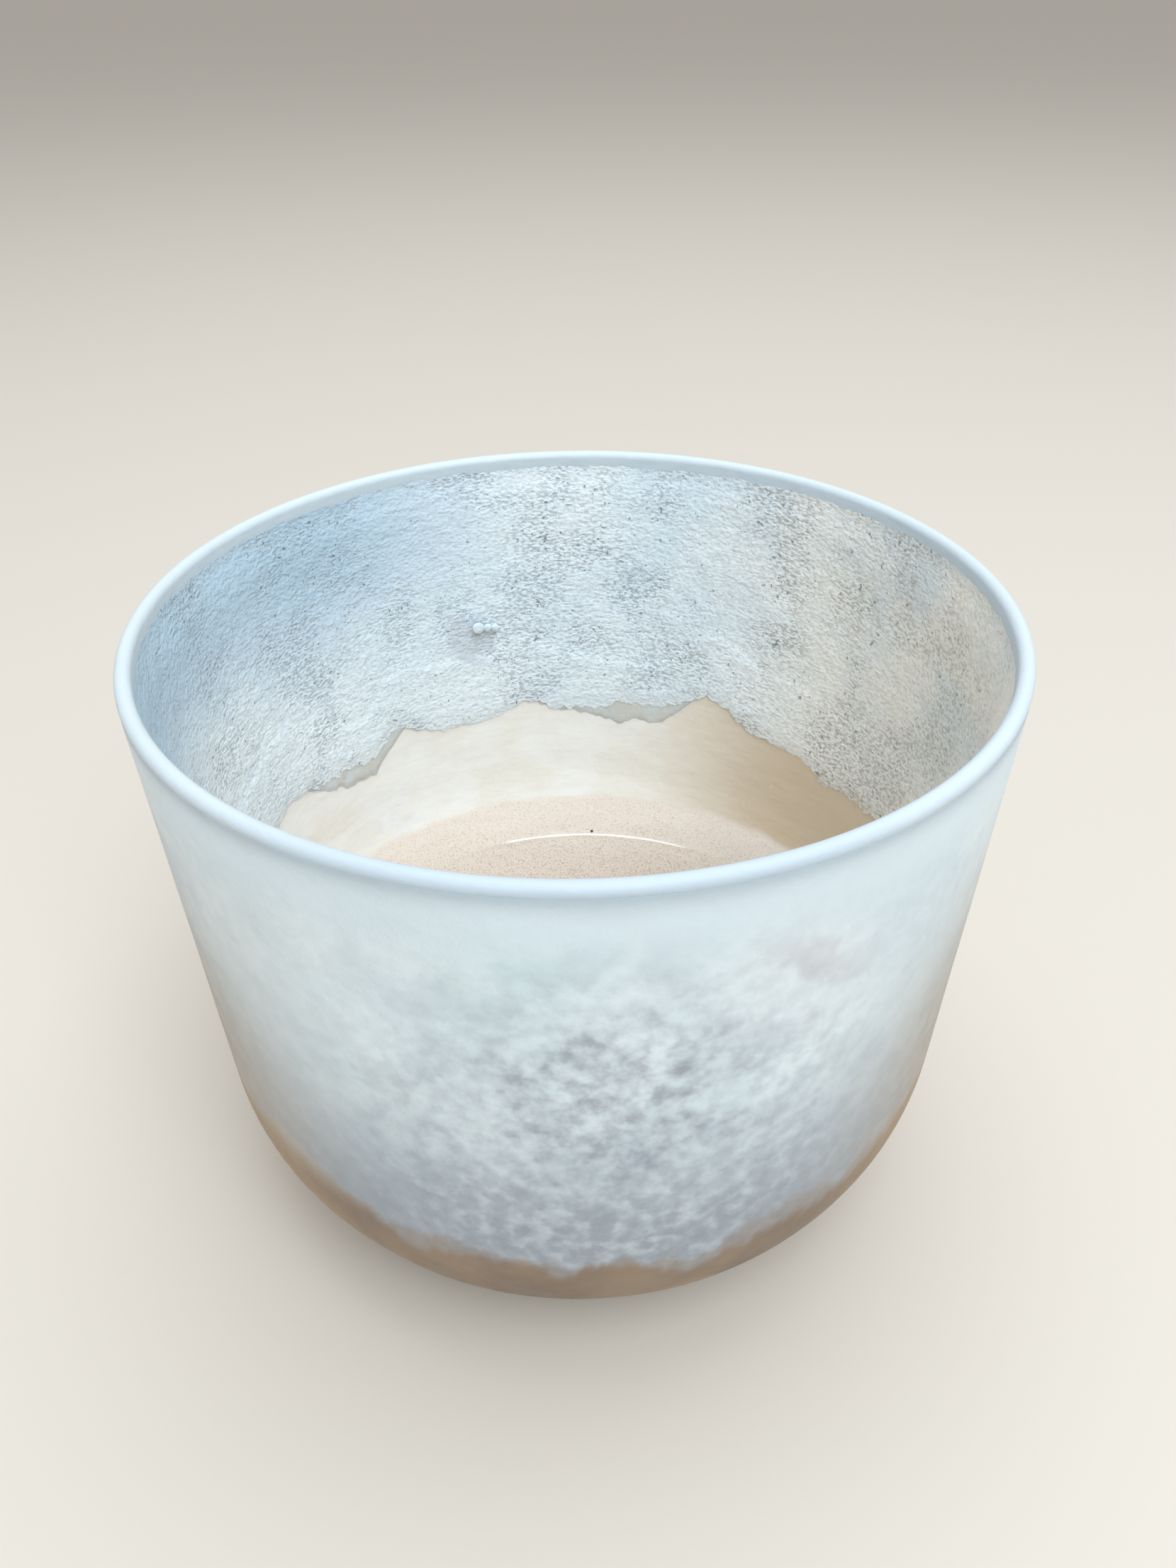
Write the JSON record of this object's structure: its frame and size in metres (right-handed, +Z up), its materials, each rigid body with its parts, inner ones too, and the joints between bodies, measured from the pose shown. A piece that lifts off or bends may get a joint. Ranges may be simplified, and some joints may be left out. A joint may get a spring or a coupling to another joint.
{
  "type": "crystal singing bowl",
  "caption": "Deep frosted quartz singing bowl with a round bottom corner, flat foot, smooth rounded rim and a ragged granular frit coat on its inside wall.",
  "frame": {"origin": "centre of the flat foot, on the surface that the bowl stands on", "axes": "+Z up along the bowl's axis; -Y is the front, towards the viewer; the coat's edge is lowest there"},
  "size_m": [0.2538, 0.2538, 0.21],
  "materials": {
    "clear_quartz": "smooth, glossy fused quartz, slightly rippled inside, rounded and polished at the rim",
    "frosted_quartz": "satin, milky, finely sanded surface with soft cloudy mottling",
    "quartz_frit": "matt, granular and finely crackled, pale blue-white",
    "quartz_wash": "thin, smooth, matt and milky",
    "fused_bead": "smooth milky white droplet"
  },
  "bodies": {
    "root": {"quartz_shell": "clear_quartz", "frosted_skin": "frosted_quartz", "frit_lining": "quartz_frit", "wash_coat": "quartz_wash", "bead_left": "fused_bead", "bead_middle": "fused_bead", "bead_right": "fused_bead"}
  },
  "joints": []
}
